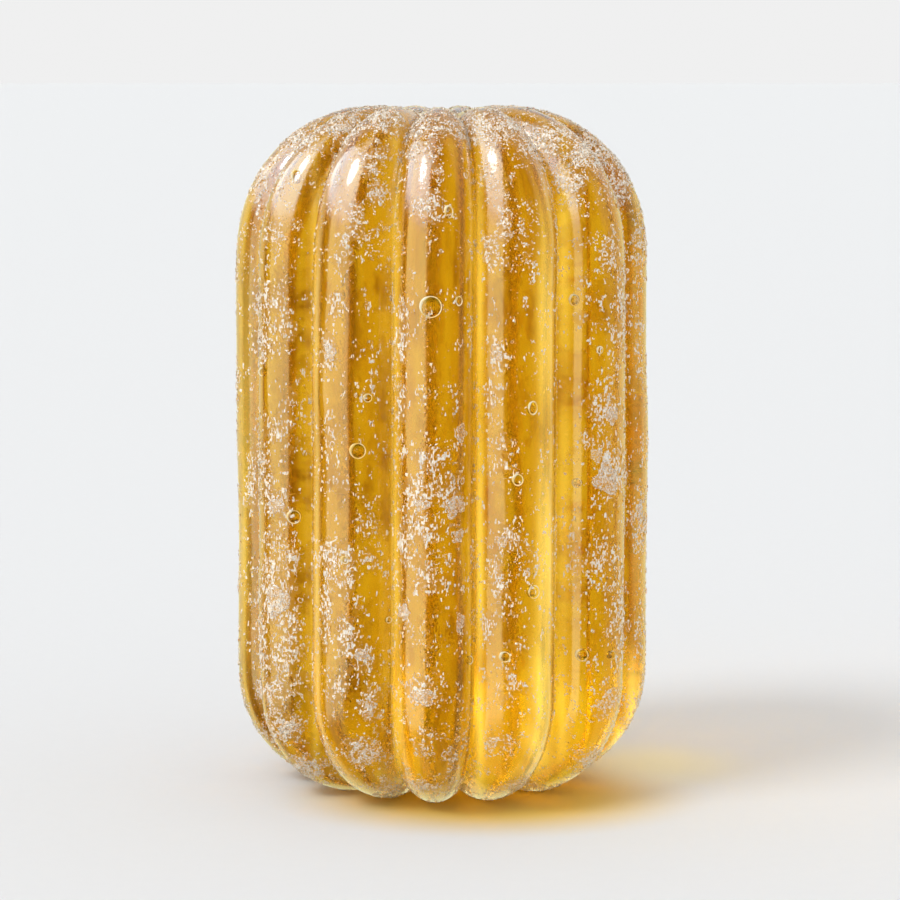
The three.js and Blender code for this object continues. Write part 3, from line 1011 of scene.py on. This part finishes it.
def add_spot(tree, place, column, row, half_across, half_along, softness):
    """1 in an ellipse on the paper, fading out around it."""
    middle = floor_under(column, row)
    inputs = {"Vector": place, "Location": (middle.x, middle.y, 0),
              "Scale": (half_across, half_along, 1)}
    moved = add_node(tree, "ShaderNodeMapping", inputs, vector_type="TEXTURE")
    length = add_node(tree, "ShaderNodeVectorMath", {0: moved.outputs[0]}, operation="LENGTH")
    return add_ramp(tree, length.outputs["Value"], 1 - softness, 1 + softness, 1, 0)


for column, row, half_across, half_along, softness, strength, colour in SPOTS:
    spot = add_spot(tree, place, column, row, half_across, half_along, softness)
    thrown = add_math(tree, "MULTIPLY", spot, strength)
    paper_colour = add_mix(tree, thrown, paper_colour, colour)
fill(tree, shader, {"Base Color": paper_colour, "Roughness": 0.9, "Specular IOR Level": 0.1})
paper.data.materials.append(paper_stuff)
paper.visible_glossy = False
print(len(SPOTS), "spots of amber light on the paper")

# %% Hang the sun lamp
KEY_AZIMUTH = math.radians(-58)  # from the camera's side, left is negative
KEY_ELEVATION = math.radians(50)
KEY_ENERGY = 1.15
KEY_SOFTNESS = math.radians(20)
KEY_DISTANCE = 0.3


def direction_of(azimuth, elevation):
    return Vector((math.sin(azimuth) * math.cos(elevation),
                   -math.cos(azimuth) * math.cos(elevation), math.sin(elevation)))


to_key = direction_of(KEY_AZIMUTH, KEY_ELEVATION)
bpy.ops.object.light_add(type="SUN", location=to_key * KEY_DISTANCE)
key = bpy.context.object
key.name = "key"
key.data.energy = KEY_ENERGY
key.data.angle = KEY_SOFTNESS
key.rotation_euler = to_key.to_track_quat("Z", "Y").to_euler()
print("sun", round(math.degrees(KEY_ELEVATION)), "degrees up")

# %% Open a world with its three directions
world = bpy.data.worlds.new("studio")
bpy.context.scene.world = world
world.use_nodes = True
tree = world.node_tree
background = tree.nodes["Background"]
way = tree.nodes.new("ShaderNodeTexCoord")
parts = tree.nodes.new("ShaderNodeSeparateXYZ")
tree.links.new(way.outputs["Generated"], parts.inputs[0])
x, y, z = parts.outputs


def beside(azimuth, softness):
    """1 to the left of a plane through the vertical at an azimuth, 0 to its right."""
    turned = math.radians(azimuth)
    side = add_math(tree, "MULTIPLY", x, math.cos(turned))
    side = add_math(tree, "MULTIPLY_ADD", y, math.sin(turned), side)
    return add_ramp(tree, side, -softness, softness, 1, 0)


print("world", world.name)

# %% Paint the window on the left
WINDOW_FRONT, WINDOW_BACK = -22, -84  # azimuths of its edges, left of the camera's side
LOW_WINDOW = 2.55  # the strength of its lower part, which falls to the least near the floor
LEAST_LOW_WINDOW = 0.4
HIGH_WINDOW = 5.2
WINDOW_LEAN = math.radians(67)

left_of_front = beside(WINDOW_FRONT, 0.035)
right_of_back = add_math(tree, "SUBTRACT", 1, beside(WINDOW_BACK, 0.05))
low_window = add_math(tree, "MULTIPLY", left_of_front, right_of_back)
low_light = add_ramp(tree, z, -0.6, -0.3, LEAST_LOW_WINDOW, LOW_WINDOW)
low_window = add_math(tree, "MULTIPLY", low_window, low_light)
# The window leans over the candy: its upper edge is a plane tilted to the front left.
forward_left = direction_of(math.radians(-55), 0)
over = add_math(tree, "MULTIPLY", x, forward_left.x * math.sin(WINDOW_LEAN))
over = add_math(tree, "MULTIPLY_ADD", y, forward_left.y * math.sin(WINDOW_LEAN), over)
over = add_math(tree, "MULTIPLY_ADD", z, -math.cos(WINDOW_LEAN), over)
under_edge = add_ramp(tree, over, -0.03, 0.03)
high_window = add_math(tree, "MULTIPLY", left_of_front, under_edge)
rising = add_ramp(tree, z, 0.2, 0.42, 0.0, HIGH_WINDOW)
high_window = add_math(tree, "MULTIPLY", high_window, rising)
print("window from", WINDOW_FRONT, "to", WINDOW_BACK, "degrees")

# %% Paint the rest of the sky that reflections see
ROOM = 0.87
RIGHT_WALL = 0.35
FLOOR_SHINE = 0.12
DARKEST = 0.03

right_wall = add_math(tree, "SUBTRACT", beside(130, 0.1), beside(75, 0.05))
right_wall = add_math(tree, "MULTIPLY", right_wall, RIGHT_WALL)
behind = add_ramp(tree, y, 0.2, 0.5, 0, ROOM)
floor_shine = add_ramp(tree, z, -0.75, -0.55, FLOOR_SHINE, 0)
sky = low_window
for light in (high_window, right_wall, behind, floor_shine, DARKEST):
    sky = add_math(tree, "MAXIMUM", sky, light)
print("sky for reflections, never darker than", DARKEST)

# %% Give each kind of ray its own room
# Matte things and what shows through the sugar see a pale room, darker in front.
FRONT_SHADE = 0.15
SEEN_WINDOW = 3.0  # the most of the high window that shows through the sugar

front = add_math(tree, "SUBTRACT", 1, beside(-24, 0.3))
front = add_math(tree, "MULTIPLY", front, add_ramp(tree, y, -0.5, 0.1, 1, 0))
room = add_math(tree, "MULTIPLY_ADD", front, -FRONT_SHADE * ROOM, ROOM)
window_seen = add_math(tree, "MINIMUM", high_window, SEEN_WINDOW)
seen_through = add_math(tree, "MAXIMUM", room, window_seen)
rays = tree.nodes.new("ShaderNodeLightPath").outputs
strength = add_mix(tree, rays["Is Transmission Ray"], room, seen_through, "FLOAT")
strength = add_mix(tree, rays["Is Glossy Ray"], strength, sky, "FLOAT")
strength = add_mix(tree, rays["Is Camera Ray"], strength, ROOM, "FLOAT")
tree.links.new(strength, background.inputs["Strength"])
world.cycles.sampling_method = "NONE"
print("the camera sees a room of", ROOM)

# %% Warm the reflections low down and cool them high up
# Low down the window light comes over a warm wall.
WARM_WALL = (1.0, 0.975, 0.58, 1)
BLUE_SKY = (0.72, 0.90, 1.0, 1)

low_glossy = add_math(tree, "MULTIPLY", rays["Is Glossy Ray"], add_ramp(tree, z, 0.32, 0.18))
warmed = add_mix(tree, low_glossy, (1, 1, 1, 1), WARM_WALL)
# High up it comes straight from a blue sky.
high_glossy = add_math(tree, "MULTIPLY", rays["Is Glossy Ray"], add_ramp(tree, z, 0.28, 0.42))
tree.links.new(add_mix(tree, high_glossy, warmed, BLUE_SKY), background.inputs["Color"])
print("the world has", len(tree.nodes), "nodes")

# %% Set how far light is followed through the sugar
scene = bpy.context.scene
scene.view_settings.view_transform = "Standard"
scene.cycles.max_bounces = 8
scene.cycles.transmission_bounces = 8
scene.cycles.glossy_bounces = 5
scene.cycles.diffuse_bounces = 2
scene.cycles.transparent_max_bounces = 4
scene.cycles.caustics_refractive = True
scene.cycles.caustics_reflective = True
scene.cycles.sample_clamp_indirect = 8.0
scene.cycles.blur_glossy = 0.3
scene.cycles.use_denoising = True
print("light is followed for", scene.cycles.max_bounces, "bounces")
